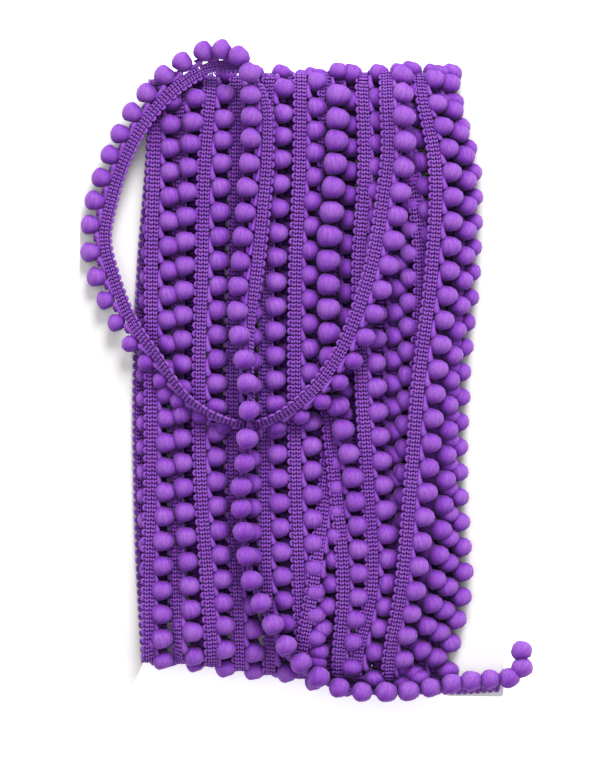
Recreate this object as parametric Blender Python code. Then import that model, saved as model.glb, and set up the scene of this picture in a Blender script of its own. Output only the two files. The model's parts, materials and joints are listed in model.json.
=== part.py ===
"""Pompom fringe trim wound lengthwise on a flat notched card.

The card lies flat, its long side along Y, +Z up. The trim goes round it through the
notches in its top (+Y) and bottom (-Y) edges, and the object rests on the flattened back
of the winding, at Z = 0. One loose end leaves the winding at the top right, loops over the
front to the left, comes back up and over, runs down the front and ends past the bottom
right corner. Sizes are in millimetres until they are scaled by MM.
"""
import math
from collections import namedtuple

import bmesh
import bpy
import numpy as np
from mathutils import Vector

MM = 0.001
GAP = 0.3                 # air between pieces that touch

# The card
CARD_WIDTH = 162.0
CARD_LENGTH = 240.0
CARD_THICK = 2.0
CARD_BASE = 10.0          # height of the card's underside: the winding's back lies below it
NOTCH_DEPTH = 12.0
NOTCH_FLOOR = 108.0       # width of a notch at its floor
NOTCH_MOUTH = 119.0       # width of a notch at the card's edge
CORNER_ROUND = 0.5

# The trim: a knitted band with pompoms along one edge, 12 mm wide in all
BAND_WIDTH = 4.5
BAND_THICK = 1.3
POMPOM_RADIUS = 3.3
POMPOM_PITCH = 8.95
POMPOM_OFFSET = 5.9       # from the band's centre line to the pompoms' centres
TIE_RADIUS = 1.2

# The winding
FLOOR_Y = CARD_LENGTH / 2 - NOTCH_DEPTH
MIDDLE_Z = CARD_BASE + CARD_THICK / 2
LEVELS = (104.0, 55.0, 0.0, -55.0, -104.0)   # where the table below gives a ridge's X
REST_GAP = 0.4            # the loose end presses into the winding, this far clear of it
GROOVE = 1.7              # depth of the grooves between neighbouring ridges
THIN_FOLD, THICK_FOLD = 3.0, 7.6             # pompom ridges over a notch's floor, left and right
BAND_DROP = 2.4           # a band's ridge lies this much lower than pompoms over the folds
BACK_LEFT, BACK_RIGHT = -55.0, 60.0

# One row for each ridge of the front, from left to right: a run of the band or a row of
# pompoms. X at the five levels, and the crest's height over the card's face halfway down.
Ridge = namedtuple("Ridge", "kind top upper middle lower bottom crest")
RIDGES = (
    Ridge("band", -51.3, -56.5, -58.0, -56.5, -51.3, 3.5),
    Ridge("band", -48.6, -52.6, -52.0, -52.2, -48.6, 5.6),
    Ridge("poms", -45.3, -46.6, -46.8, -46.8, -45.0, 7.2),
    Ridge("poms", -37.8, -40.2, -41.1, -38.6, -35.0, 7.8),
    Ridge("band", -32.2, -34.0, -34.5, -31.8, -28.4, 7.8),
    Ridge("poms", -26.8, -27.8, -28.1, -26.4, -23.4, 8.0),
    Ridge("band", -22.4, -22.1, -22.0, -20.5, -18.1, 7.6),
    Ridge("poms", -16.4, -15.6, -14.4, -13.8, -12.4, 8.0),
    Ridge("band", -10.3, -10.0, -9.8, -9.0, -6.7, 8.2),
    Ridge("poms", -4.7, -6.1, -6.3, -3.3, -0.4, 10.0),
    Ridge("band", 1.5, 1.2, 1.0, 2.7, 4.4, 11.0),
    Ridge("poms", 6.6, 6.4, 7.0, 7.4, 8.6, 12.0),
    Ridge("band", 10.8, 11.4, 12.0, 12.2, 13.0, 13.0),
    Ridge("poms", 15.2, 14.3, 15.3, 17.0, 17.6, 16.0),
    Ridge("poms", 20.2, 20.2, 20.0, 20.8, 21.4, 15.0),
    Ridge("band", 24.8, 25.0, 25.6, 25.8, 25.6, 15.4),
    Ridge("poms", 30.0, 30.2, 31.0, 31.2, 30.2, 13.8),
    Ridge("poms", 35.4, 36.6, 37.6, 37.0, 34.8, 11.0),
    Ridge("poms", 40.6, 43.6, 43.2, 42.4, 39.0, 13.6),
    Ridge("band", 44.6, 51.4, 48.0, 46.2, 42.4, 17.4),
    Ridge("poms", 47.6, 57.3, 53.6, 50.2, 45.2, 18.6),
    Ridge("poms", 49.4, 62.3, 58.8, 57.0, 48.2, 13.6),
    Ridge("poms", 51.2, 65.6, 63.4, 62.8, 51.0, 8.0),
)

# The loose end: the band's centre line, and the way from it to its pompoms, as a roll in
# degrees from the left-hand side of the travel (0) towards straight up (90).
Route = namedtuple("Route", "x y z roll")
LOOSE_END = (
    Route(33.5, 113.4, 17.0, 8), Route(33.6, 101.8, 27.0, 5), Route(34.4, 84.0, 28.2, 0),
    Route(32.3, 62.8, 28.8, 0), Route(28.8, 46.8, 30.0, 0), Route(23.0, 27.7, 31.5, 0),
    Route(16.1, 10.1, 31.5, -5), Route(6.8, -4.8, 29.8, -15), Route(-4.2, -14.7, 27.0, -35),
    Route(-15.2, -17.9, 25.0, -42), Route(-27.1, -14.9, 25.2, -50), Route(-37.2, -9.2, 25.2, -46),
    Route(-49.0, 5.1, 24.2, -32), Route(-59.6, 18.2, 20.8, -25), Route(-67.2, 33.9, 18.6, -18),
    Route(-71.1, 49.6, 18.0, -22), Route(-69.2, 63.0, 17.9, -20), Route(-63.8, 82.2, 18.6, -28),
    Route(-54.9, 96.2, 18.0, -20), Route(-43.5, 107.4, 18.8, -5), Route(-30.7, 113.8, 20.6, 15),
    Route(-20.9, 113.2, 22.4, 65), Route(-14.8, 107.6, 23.6, 115), Route(-11.9, 99.4, 24.4, 145),
    Route(-11.1, 82.0, 25.0, 165), Route(-12.1, 63.5, 25.0, 178), Route(-14.0, 41.0, 25.0, 170),
    Route(-16.2, 16.0, 25.0, 130), Route(-15.6, 0.0, 27.2, 103), Route(-14.8, -15.0, 29.6, 98),
    Route(-16.4, -31.0, 26.6, 93), Route(-18.3, -46.0, 23.2, 90), Route(-16.9, -58.7, 22.8, 90),
    Route(-14.0, -76.5, 22.6, 90), Route(-7.4, -93.6, 21.8, 80), Route(2.9, -109.0, 19.6, 66),
    Route(18.0, -118.7, 17.0, 64), Route(44.0, -120.8, 15.4, 65), Route(66.0, -116.6, 15.0, 62),
    Route(83.0, -116.6, 14.9, 58),
)
# Centres of the last two pompoms, which curl up past the band's cut end.
LAST_POMPOMS = ((87.2, -107.9, 19.4), (87.1, -101.6, 18.6))


def clear_scene():
    for item in list(bpy.data.objects):
        bpy.data.objects.remove(item, do_unlink=True)


def material(name, color, roughness):
    made = bpy.data.materials.new(name)
    made.use_nodes = True
    shader = made.node_tree.nodes["Principled BSDF"]
    shader.inputs["Base Color"].default_value = (*color, 1.0)
    shader.inputs["Roughness"].default_value = roughness
    shader.inputs["Metallic"].default_value = 0.0
    return made


def add_object(name, mesh_maker, finish):
    """Put a bmesh, built in millimetres, into the scene in metres."""
    bmesh.ops.scale(mesh_maker, vec=(MM, MM, MM), verts=mesh_maker.verts)
    bmesh.ops.recalc_face_normals(mesh_maker, faces=mesh_maker.faces)
    mesh = bpy.data.meshes.new(name)
    mesh_maker.to_mesh(mesh)
    mesh_maker.free()
    mesh.materials.append(finish)
    made = bpy.data.objects.new(name, mesh)
    bpy.context.collection.objects.link(made)
    return made


def skin_rings(rings, closed):
    """Join rings of equal length into a tube, or into a ring that closes on itself."""
    shape = bmesh.new()
    made = [[shape.verts.new(point) for point in ring] for ring in rings]
    pairs = list(zip(made, made[1:]))
    if closed:
        pairs.append((made[-1], made[0]))
    for near, far in pairs:
        for i in range(len(near)):
            j = (i + 1) % len(near)
            shape.faces.new((near[i], near[j], far[j], far[i]))
    if not closed:
        shape.faces.new(made[0][::-1])
        shape.faces.new(made[-1])
    return shape


# ---- the card ----

def card():
    half_width, half_length = CARD_WIDTH / 2, CARD_LENGTH / 2
    mouth, floor = NOTCH_MOUTH / 2, NOTCH_FLOOR / 2
    right_side = [(floor, -FLOOR_Y), (mouth, -half_length), (half_width, -half_length),
                  (half_width, half_length), (mouth, half_length), (floor, FLOOR_Y)]
    outline = right_side + [(-x, y) for x, y in reversed(right_side)]
    shape = bmesh.new()
    face = shape.faces.new([shape.verts.new((x, y, CARD_BASE)) for x, y in outline])
    raised = bmesh.ops.extrude_face_region(shape, geom=[face])["geom"]
    top_verts = [item for item in raised if isinstance(item, bmesh.types.BMVert)]
    bmesh.ops.translate(shape, verts=top_verts, vec=(0, 0, CARD_THICK))
    upright = [e for e in shape.edges if abs(e.verts[0].co.z - e.verts[1].co.z) > 1.0]
    bmesh.ops.bevel(shape, geom=upright, offset=CORNER_ROUND, segments=3, affect="EDGES")
    return add_object("card", shape, material("card", (0.86, 0.85, 0.83), 0.6))


# ---- the loose end ----

def smooth_path(points, step):
    """Catmull-Rom curve through rows of numbers, in even steps along its first three."""
    rows = np.array(points, dtype=float)
    ends = np.vstack([2 * rows[0] - rows[1], rows, 2 * rows[-1] - rows[-2]])
    dense = []
    for a, b, c, d in zip(ends, ends[1:], ends[2:], ends[3:]):
        for t in np.linspace(0, 1, 16, endpoint=False):
            dense.append(0.5 * (2 * b + (c - a) * t + (2 * a - 5 * b + 4 * c - d) * t ** 2
                                + (3 * b - a - 3 * c + d) * t ** 3))
    dense = np.array(dense + [rows[-1]])
    run = np.concatenate([[0], np.cumsum(np.linalg.norm(np.diff(dense[:, :3], axis=0), axis=1))])
    places = np.linspace(0, run[-1], max(2, round(run[-1] / step)) + 1)
    return np.column_stack([np.interp(places, run, column) for column in dense.T])


def directions(path):
    """Tangents, ways to the pompoms and ways out of the band's face, along a rolled path."""
    frames = []
    for i, row in enumerate(path):
        ahead = path[min(i + 1, len(path) - 1)][:3] - path[max(i - 1, 0)][:3]
        tangent = Vector(ahead).normalized()
        left = Vector((0, 0, 1)).cross(tangent).normalized()
        up = tangent.cross(left)
        roll = math.radians(row[3])
        frames.append((tangent, left * math.cos(roll) + up * math.sin(roll),
                       up * math.cos(roll) - left * math.sin(roll)))
    return frames


def loose_band():
    path = smooth_path(LOOSE_END, step=6.0)
    rings = []
    for row, (_, side, face) in zip(path, directions(path)):
        centre = Vector(row[:3])
        rings.append([centre + side * across * BAND_WIDTH / 2 + face * out * BAND_THICK / 2
                      for across, out in ((-1, -1), (1, -1), (1, 1), (-1, 1))])
    return add_object("loose_band", skin_rings(rings, closed=False),
                      material("band", (0.26, 0.07, 0.42), 0.7))


def pompom_line():
    """The line that the loose end's pompoms are threaded on."""
    path = smooth_path(LOOSE_END, step=3.0)
    line = [Vector(row[:3]) + side * POMPOM_OFFSET
            for row, (_, side, _) in zip(path, directions(path))]
    return [tuple(point) for point in line] + list(LAST_POMPOMS)


def loose_pompoms():
    """The fringe as one comb: pompoms in a row, drawn together at the ties."""
    line = smooth_path(pompom_line(), step=POMPOM_PITCH / 4)
    pompoms = (len(line) - 1) // 4
    shape_of_pompom = ((0, TIE_RADIUS), (1, 0.92 * POMPOM_RADIUS), (2, POMPOM_RADIUS),
                       (3, 0.92 * POMPOM_RADIUS))
    rings = []
    for pompom in range(pompoms):
        for quarter, radius in shape_of_pompom:
            i = 4 * pompom + quarter
            along = Vector(line[min(i + 1, len(line) - 1)] - line[max(i - 1, 0)]).normalized()
            flat = along.cross(Vector((0, 0, 1))).normalized()
            up = flat.cross(along)
            turns = [math.radians(60 * k) for k in range(6)]
            rings.append([Vector(line[i]) + (flat * math.cos(t) + up * math.sin(t)) * radius
                          for t in turns])
    last = [Vector(line[4 * pompoms]) + (point - Vector(line[4 * pompoms - 1])) * 0.4
            for point in rings[-1]]
    return add_object("loose_pompoms", skin_rings(rings + [last], closed=False),
                      material("pompoms", (0.30, 0.09, 0.48), 0.9))


# ---- the winding ----

def ridge_x(ridge, y):
    """X of a ridge on the front, smoothly between its five levels."""
    places = (ridge.top, ridge.upper, ridge.middle, ridge.lower, ridge.bottom)
    y = max(min(y, LEVELS[0]), LEVELS[-1])
    for high, low, start, end in zip(LEVELS, LEVELS[1:], places, places[1:]):
        if y >= low:
            t = (high - y) / (high - low)
            return start + (end - start) * t * t * (3 - 2 * t)
    return places[-1]


def fold_height(ridge, x):
    """How far a ridge stands off a notch's floor: more turns lie on the right."""
    t = max(0.0, min(1.0, (x + 50.0) / 45.0))
    return THIN_FOLD + (THICK_FOLD - THIN_FOLD) * t - (BAND_DROP if ridge.kind == "band" else 0)


def fullness(y, sharpness):
    """0 at the folds and 1 halfway: the turns are tight over the notches and loose between."""
    return 1 - min(1.0, abs(y) / FLOOR_Y) ** sharpness


def profile(crests):
    """Points (x, height) over the ridges of one section, from left to right."""
    points = [(crests[0][0] - 2.2, 0.5 * crests[0][1])]
    for i, (x, height) in enumerate(crests):
        left = crests[i - 1][0] if i else x - 4.0
        right = crests[i + 1][0] if i + 1 < len(crests) else x + 4.0
        points += [(x - 0.28 * (x - left), height), (x + 0.28 * (right - x), height)]
        if i + 1 < len(crests):
            valley = max(1.0, min(height, crests[i + 1][1]) - GROOVE)
            points.append(((x + right) / 2, valley))
    points.append((crests[-1][0] + 2.4, 0.5 * crests[-1][1]))
    return points


def lies_clear(base, outward, height, line, radius):
    """Cut a height down to stay under the loose end, which presses into the winding."""
    away = line - base
    along = away @ outward
    across, lengthwise = away[:, 0], away[:, 1] - along * outward[1]
    near = (np.hypot(across, 0.45 * lengthwise) < radius + 4.5) & (along > 0)
    if not near.any():
        return height
    return max(0.8, min(height, (along[near] - radius - REST_GAP).min()))


def section(crests, base_of, outward, pressing):
    """One closed ring of the winding's wall: over its ridges, and back along the card."""
    outline = profile(crests)
    ring = []
    for x, height in outline:
        base = base_of(x)
        for line, radius in pressing:
            height = lies_clear(base, outward, height, line, radius)
        ring.append(tuple(base + outward * height))
    left, right = outline[0][0] + 0.6, outline[-1][0] - 0.6
    ring += [tuple(base_of(right + (left - right) * t)) for t in (0, 1 / 3, 2 / 3, 1)]
    return ring


def winding():
    inner = CARD_THICK / 2 + GAP
    centre_y = FLOOR_Y + GAP - inner
    band_line = smooth_path(LOOSE_END, step=2.0)
    pressing = ((band_line[:, :3], BAND_WIDTH / 2),
                (smooth_path(pompom_line(), step=2.0), POMPOM_RADIUS))
    count = len(RIDGES)
    back_x = [BACK_LEFT + (BACK_RIGHT - BACK_LEFT) * k / (count - 1) for k in range(count)]
    rings = []

    def front(y):
        full = fullness(y, 3.5)
        crests = []
        for ridge in RIDGES:
            x = ridge_x(ridge, y)
            tight = fold_height(ridge, x)
            crests.append((x, tight + (ridge.crest - tight) * full))
        base = lambda x: np.array((x, y, MIDDLE_Z + inner))
        rings.append(section(crests, base, np.array((0, 0, 1.0)), pressing))

    def back(y):
        full = fullness(y, 9.0)
        level = CARD_BASE - GAP
        crests = []
        for ridge, wide in zip(RIDGES, back_x):
            narrow = ridge.top if y > 0 else ridge.bottom
            tight = fold_height(ridge, narrow)
            crests.append((narrow + (wide - narrow) * full,
                           level if abs(y) < 85 else tight + (level - tight) * full))
        base = lambda x: np.array((x, y, MIDDLE_Z - inner))
        rings.append(section(crests, base, np.array((0, 0, -1.0)), ()))

    def fold(angle, side):
        turn = math.radians(angle)
        corner = inner / max(abs(math.sin(turn)), abs(math.cos(turn)))
        crests = []
        for ridge in RIDGES:
            x = ridge.top if side > 0 else ridge.bottom
            crests.append((x, fold_height(ridge, x)))
        base = lambda x: np.array((x, side * (centre_y + corner * math.sin(turn)),
                                   MIDDLE_Z + corner * math.cos(turn)))
        rings.append(section(crests, base, np.array((0, side * math.sin(turn), math.cos(turn))),
                             pressing))

    fold_angles = (22, 45, 90, 135, 158)
    front_places = [-101 + 202 * i / 17 for i in range(18)]
    back_places = (-101, -90, -60, -30, 0, 30, 60, 90, 101)
    for y in reversed(front_places):
        front(y)
    for angle in fold_angles:
        fold(angle, side=-1)
    for y in back_places:
        back(y)
    for angle in reversed(fold_angles):
        fold(angle, side=1)
    return add_object("winding", skin_rings(rings, closed=True),
                      material("wound_trim", (0.28, 0.08, 0.45), 0.85))


clear_scene()
card()
winding()
loose_band()
loose_pompoms()
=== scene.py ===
# A pompom fringe trim: one long length of violet trim wound round a notched card, with its
# loose end lying over the turns. The trim is a knitted heading band with a row of pompoms
# along one edge. Lengths are in metres, and in millimetres where MM follows or a note says so.
import json
import math
import random
from collections import namedtuple

import bpy
import numpy as np
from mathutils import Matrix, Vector

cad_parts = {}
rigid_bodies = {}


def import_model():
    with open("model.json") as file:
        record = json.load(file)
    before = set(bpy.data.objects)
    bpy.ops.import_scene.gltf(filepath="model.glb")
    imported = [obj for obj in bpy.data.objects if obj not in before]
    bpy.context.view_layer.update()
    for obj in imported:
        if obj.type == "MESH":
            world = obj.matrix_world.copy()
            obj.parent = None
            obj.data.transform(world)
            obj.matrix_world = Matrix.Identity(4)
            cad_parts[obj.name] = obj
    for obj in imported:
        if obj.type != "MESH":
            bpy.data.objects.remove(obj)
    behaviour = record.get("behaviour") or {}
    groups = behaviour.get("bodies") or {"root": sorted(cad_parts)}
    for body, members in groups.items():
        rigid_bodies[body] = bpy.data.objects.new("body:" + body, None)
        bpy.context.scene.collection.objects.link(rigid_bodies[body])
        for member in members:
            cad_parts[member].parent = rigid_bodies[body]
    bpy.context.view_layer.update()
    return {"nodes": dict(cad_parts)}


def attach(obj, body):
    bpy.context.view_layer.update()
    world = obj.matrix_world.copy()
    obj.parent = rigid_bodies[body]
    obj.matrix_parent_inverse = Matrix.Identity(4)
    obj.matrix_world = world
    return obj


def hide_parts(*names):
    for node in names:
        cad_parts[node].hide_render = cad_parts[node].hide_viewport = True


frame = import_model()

scene = bpy.context.scene


# ---- camera ----
# It looks straight down on the wound card from arm's length, turned a little off the card's
# own sides, with a long lens.
EYE = (0.0027, -0.0039, 0.912)
EYE_TURN = math.radians(0.9)
PICTURE_HEIGHT_PX = 769
FOCAL_LENGTH_PX = 2394
SENSOR = 36.0

lens = bpy.data.cameras.new("camera")
lens.sensor_fit = "VERTICAL"
lens.sensor_height = SENSOR
lens.lens = SENSOR * FOCAL_LENGTH_PX / PICTURE_HEIGHT_PX
camera = bpy.data.objects.new("camera", lens)
camera.location = EYE
camera.rotation_euler = (0.0, 0.0, EYE_TURN)
scene.collection.objects.link(camera)
scene.camera = camera


# ---- the loose end's heading band ----
# The last 0.65 m of the trim comes off the top fold, curls over the front and hangs below the
# card. Its heading is a narrow warp-knitted band: two wales of chain stitches on a ground of
# laid-in yarn, picot loops along one edge, and the pompoms' own yarn stitched to the other.
MM = 0.001
PITCH = 8.95 * MM  # from pompom to pompom
ROWS = 6  # rows of stitches to each pompom
REACH = 5.9 * MM  # from the band's middle to the pompoms' middle
HINGE = 1.9 * MM  # from the band's middle to the line that the pompoms swing on

Route = namedtuple("Route", "x y z roll")
LOOSE_STEP = 1.0 * MM  # between the points of the loose end's line
LOOSE_END = (
    Route(0.0335, 0.1134, 0.0170, 8), Route(0.0336, 0.1018, 0.0270, 5),
    Route(0.0344, 0.0840, 0.0282, 0), Route(0.0323, 0.0628, 0.0288, 0),
    Route(0.0301, 0.0464, 0.0300, 0), Route(0.0250, 0.0270, 0.0315, 0),
    Route(0.0179, 0.0088, 0.0315, -5), Route(0.0082, -0.0053, 0.0305, -22),
    Route(-0.0042, -0.0152, 0.0290, -52), Route(-0.0152, -0.0190, 0.0278, -66),
    Route(-0.0271, -0.0165, 0.0276, -68), Route(-0.0378, -0.0103, 0.0272, -62),
    Route(-0.0494, 0.0043, 0.0256, -46), Route(-0.0598, 0.0178, 0.0218, -32),
    Route(-0.0672, 0.0339, 0.0190, -20), Route(-0.0711, 0.0496, 0.0182, -22),
    Route(-0.0690, 0.0630, 0.0190, -20), Route(-0.0628, 0.0812, 0.0212, -26),
    Route(-0.0543, 0.0958, 0.0226, -20), Route(-0.0434, 0.1072, 0.0226, -5),
    Route(-0.0307, 0.1138, 0.0226, 15), Route(-0.0209, 0.1132, 0.0234, 65),
    Route(-0.0148, 0.1076, 0.0236, 115), Route(-0.0119, 0.0994, 0.0244, 145),
    Route(-0.0111, 0.0820, 0.0250, 165), Route(-0.0121, 0.0635, 0.0250, 178),
    Route(-0.0140, 0.0410, 0.0250, 170), Route(-0.0162, 0.0160, 0.0250, 130),
    Route(-0.0156, 0.0000, 0.0272, 103), Route(-0.0148, -0.0150, 0.0296, 98),
    Route(-0.0164, -0.0310, 0.0266, 93), Route(-0.0183, -0.0460, 0.0232, 90),
    Route(-0.0169, -0.0587, 0.0228, 90), Route(-0.0138, -0.0765, 0.0226, 90),
    Route(-0.0066, -0.0930, 0.0218, 80), Route(0.0033, -0.1084, 0.0196, 68),
    Route(0.0180, -0.1167, 0.0164, 82), Route(0.0440, -0.1184, 0.0150, 80),
    Route(0.0660, -0.1170, 0.0149, 56), Route(0.0830, -0.1155, 0.0150, 52),
)
# Past the cut end of the band the last pompoms hang on in a hook, on their own yarn.
PAST_THE_CUT = ((0.0853, -0.1136, 0.0186), (0.0875, -0.1080, 0.0194), (0.0873, -0.1018, 0.0186),
                (0.0870, -0.0978, 0.0182))
# Which pompom lies at which distance along the loose end.
LOOSE_MARKS = ((1, 0.0032), (2, 0.0133), (13, 0.1120), (19, 0.1652), (22, 0.1935), (24, 0.2120),
               (28, 0.2470), (36, 0.3145), (38, 0.3293), (41, 0.3459), (44, 0.3715),
               (54, 0.4634), (59, 0.5092), (67, 0.5814), (70, 0.6095), (73, 0.6343),
               (76, 0.6557))


def smooth_run(rows, step):
    """A smooth curve in even steps through rows that start with a place, and the rows' distances."""
    rows = np.array(rows, dtype=float)
    gaps = np.linalg.norm(np.diff(rows[:, :3], axis=0), axis=1)[:, None]
    slopes = np.diff(rows, axis=0) / gaps
    inner = (slopes[:-1] * gaps[1:] + slopes[1:] * gaps[:-1]) / (gaps[:-1] + gaps[1:])
    leans = np.vstack([slopes[0], inner, slopes[-1]])
    t = np.linspace(0, 1, 24, endpoint=False)[:, None]
    spans = [(2 * t ** 3 - 3 * t ** 2 + 1) * rows[i] + (t ** 3 - 2 * t ** 2 + t) * gap * leans[i]
             + (3 * t ** 2 - 2 * t ** 3) * rows[i + 1] + (t ** 3 - t ** 2) * gap * leans[i + 1]
             for i, gap in enumerate(gaps)]
    dense = np.vstack(spans + [rows[-1:]])
    moves = np.linalg.norm(np.diff(dense[:, :3], axis=0), axis=1)
    run = np.concatenate([[0], np.cumsum(moves)])
    places = np.linspace(0, run[-1], round(run[-1] / step) + 1)
    return np.column_stack([np.interp(places, run, column) for column in dense.T]), run[::24]


def unit(vectors):
    return vectors / np.linalg.norm(vectors, axis=-1, keepdims=True)


def tangents(line):
    return unit(np.gradient(line, axis=0))


def plain_mesh(name, points, faces=(), edges=(), numbers=None, vectors=None):
    """An object from points and faces, with a number or a vector noted at each point."""
    mesh = bpy.data.meshes.new(name)
    mesh.from_pydata(np.asarray(points).tolist(), list(edges), list(faces))
    for label, values in (numbers or {}).items():
        layer = mesh.attributes.new(label, "FLOAT", "POINT")
        layer.data.foreach_set("value", np.asarray(values, dtype=np.float32).ravel())
    for label, values in (vectors or {}).items():
        layer = mesh.attributes.new(label, "FLOAT_VECTOR", "POINT")
        layer.data.foreach_set("vector", np.asarray(values, dtype=np.float32).ravel())
    mesh.polygons.foreach_set("use_smooth", [True] * len(mesh.polygons))
    made = bpy.data.objects.new(name, mesh)
    scene.collection.objects.link(made)
    return made


def trim_path(name, line, sides, ways):
    """The line of the band's middle, with the way across the band and the way to the pompoms."""
    edges = [(i, i + 1) for i in range(len(line) - 1)]
    return plain_mesh(name, line, edges=edges, vectors={"side": sides, "way": ways})


class Thread:
    """Short lengths of thread in millimetres, joined into one mesh, each a closed tapered tube."""

    def __init__(self):
        # Each point carries a number of painted light and shade, which lightens or darkens the yarn's
        # colour.
        self.points, self.faces, self.shades, self.grains = [], [], [], []

    def lay(self, places, width, height, sides=4, shade=1.0):
        """Lay one thread: its first and last places are its tips."""
        places = np.array(places, dtype=float)
        corner = 1 / math.cos(math.pi / sides)
        width = np.broadcast_to(width, len(places) - 2) * corner
        height = np.broadcast_to(height, len(places) - 2) * corner
        rings = []
        for i in range(1, len(places) - 1):
            along = unit(places[i + 1] - places[i - 1])
            across = unit(np.cross(along, (0.0, 0.0, 1.0)))
            up = np.cross(across, along)
            ring = []
            for k in range(sides):
                angle = 2 * math.pi * (k + 0.5) / sides
                ring.append(len(self.points))
                self.points.append(places[i] + across * math.cos(angle) * width[i - 1]
                                   + up * math.sin(angle) * height[i - 1])
                self.grains.append((math.cos(angle), math.sin(angle), 0.3 * i))
            rings.append(ring)
        first, last = len(self.points), len(self.points) + 1
        self.points += [places[0], places[-1]]
        self.grains += [(0.0, 0.0, 0.0), (0.0, 0.0, 0.3 * len(places))]
        self.shades += [shade] * (len(self.points) - len(self.shades))
        for k in range(sides):
            j = (k + 1) % sides
            self.faces.append((first, rings[0][k], rings[0][j]))
            self.faces.append((rings[-1][j], rings[-1][k], last))
            for near, far in zip(rings, rings[1:]):
                self.faces.append((near[k], far[k], far[j], near[j]))

    def finish(self, name):
        points = np.array(self.points) * MM
        return plain_mesh(name, points, self.faces, numbers={"shade": self.shades},
                          vectors={"grain": self.grains})


def stitch_repeat(name, detail):
    """One pompom's length of band, laid straight along Y, with the pompom's middle at y = 0."""
    made = Thread()
    plain, fine = detail == "plain", detail == "fine"
    pitch, row = PITCH / MM, PITCH / MM / ROWS
    sides = 5 if fine else 4
    # The ground: laid-in yarn between the stitches, which the light hardly reaches, so its colour is
    # painted darker as painted shade.
    for left, right in ((-1.95, 2.0),) if plain else ((-1.95, -0.05), (-0.15, 2.0)):
        middle, half = (left + right) / 2, (right - left) / 2
        ends = pitch / 2 + 0.1
        made.lay([(middle, y, 0.0) for y in (-ends - 0.01, -ends, 0, ends, ends + 0.01)],
                 half, 0.24, shade=0.7)
    for i in range(ROWS):
        y = -pitch / 2 + (i + 0.5) * row
        if plain:
            made.lay([(-1.9, y - 0.1, 0.3), (-1.5, y, 0.4), (1.5, y, 0.4), (1.9, y - 0.1, 0.3)],
                     0.45, 0.3)
            continue
        for out in (1, -1) if fine else (1,):
            top = 0.42 * out
            for wale in (-0.97, 0.97):
                for lean in (-1, 1):
                    # The stitches are painted a little lighter than the ground, a painted highlight
                    # on their raised arcs.
                    made.lay([(wale + 0.55 * lean, y - 0.9, 0.6 * top),
                              (wale + 0.58 * lean, y - 0.35, 1.1 * top),
                              (wale + 0.34 * lean, y + 0.25, 1.3 * top),
                              (wale - 0.05 * lean, y + 0.85, 0.9 * top)], (0.33, 0.37), 0.34,
                             sides, shade=1.1)
    # Picot loops: three to each pompom, each a lobe that leans along the band.
    for i in range(ROWS // 2):
        y = -pitch / 2 + (2 * i + 1) * row
        if plain:
            made.lay([(-1.7, y - 0.9, 0.1), (-2.45, y - 0.6, 0.15), (-2.6, y + 0.5, 0.15),
                      (-1.7, y + 0.9, 0.1)], 0.42, 0.4)
            continue
        made.lay([(-1.6, y - 0.9, 0.2), (-2.2, y - 1.1, 0.35), (-2.8, y - 0.7, 0.35),
                  (-2.95, y + 0.1, 0.3), (-2.5, y + 0.8, 0.3), (-1.7, y + 1.2, 0.2)],
                 0.38, 0.36, sides)
        # The thread under each loop is painted darker, as painted shade.
        made.lay([(-2.6, y - 0.5, -0.1), (-2.3, y - 0.15, 0.1), (-1.9, y + 0.2, 0.25),
                  (-1.5, y + 0.4, 0.2)], 0.26, 0.26, sides, shade=0.9)
    # The pompoms' yarn: it runs on beside the band and widens into the next pompom.
    made.lay([(2.4, -9.4, 0.0), (2.5, -8.3, 0.2), (2.55, -5.6, 0.3), (2.7, -4.3, 0.4),
              (3.0, -3.1, 0.4), (3.4, -1.6, 0.0)],
             (0.7, 0.72, 0.88, 1.05), (0.5, 0.55, 0.7, 1.0), 4 if plain else 6, shade=1.0)
    if fine:
        # This thread lies under the pompom and is painted darker, as painted shade.
        made.lay([(4.2, -5.9, -0.4), (4.1, -5.2, 0.0), (4.0, -4.4, 0.2), (4.1, -3.7, 0.0),
                  (4.2, -3.0, -0.4)], 0.5, 0.5, 5, shade=0.7)
    # The ties are painted lighter, a painted highlight on the small raised stitches.
    for x, y in () if plain else ((2.5, -4.1), (3.1, -3.7)):
        made.lay([(x - 0.4, y - 0.2, 0.9), (x - 0.2, y - 0.1, 1.1), (x + 0.15, y, 1.15),
                  (x + 0.35, y + 0.2, 0.8)], 0.17, 0.17, shade=1.25)
    return made.finish(name)


class Wire:
    """A node's output, which adds its own maths nodes where it stands in an expression."""

    def __init__(self, net, socket):
        self.net, self.socket = net, socket

    def maths(self, operation, *others):
        parts = [self, *others]
        vector = any(isinstance(p, tuple) or getattr(p, "is_vector", False) for p in parts)
        kind = "ShaderNodeVectorMath" if vector else "ShaderNodeMath"
        return self.net.node(kind, {"operation": operation}, dict(enumerate(parts)))

    @property
    def is_vector(self):
        return self.socket.type == "VECTOR"

    def __add__(self, other):
        return self.maths("ADD", other)

    def __sub__(self, other):
        return self.maths("SUBTRACT", other)

    def __mul__(self, other):
        return self.maths("MULTIPLY", other)

    def __pow__(self, other):
        return self.maths("POWER", other)

    __radd__ = __add__
    __rmul__ = __mul__

    def __rsub__(self, other):
        return (self * -1.0) + other

    def cross(self, other):
        return self.maths("CROSS_PRODUCT", other)

    def straight(self):
        return self.maths("NORMALIZE")


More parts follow.
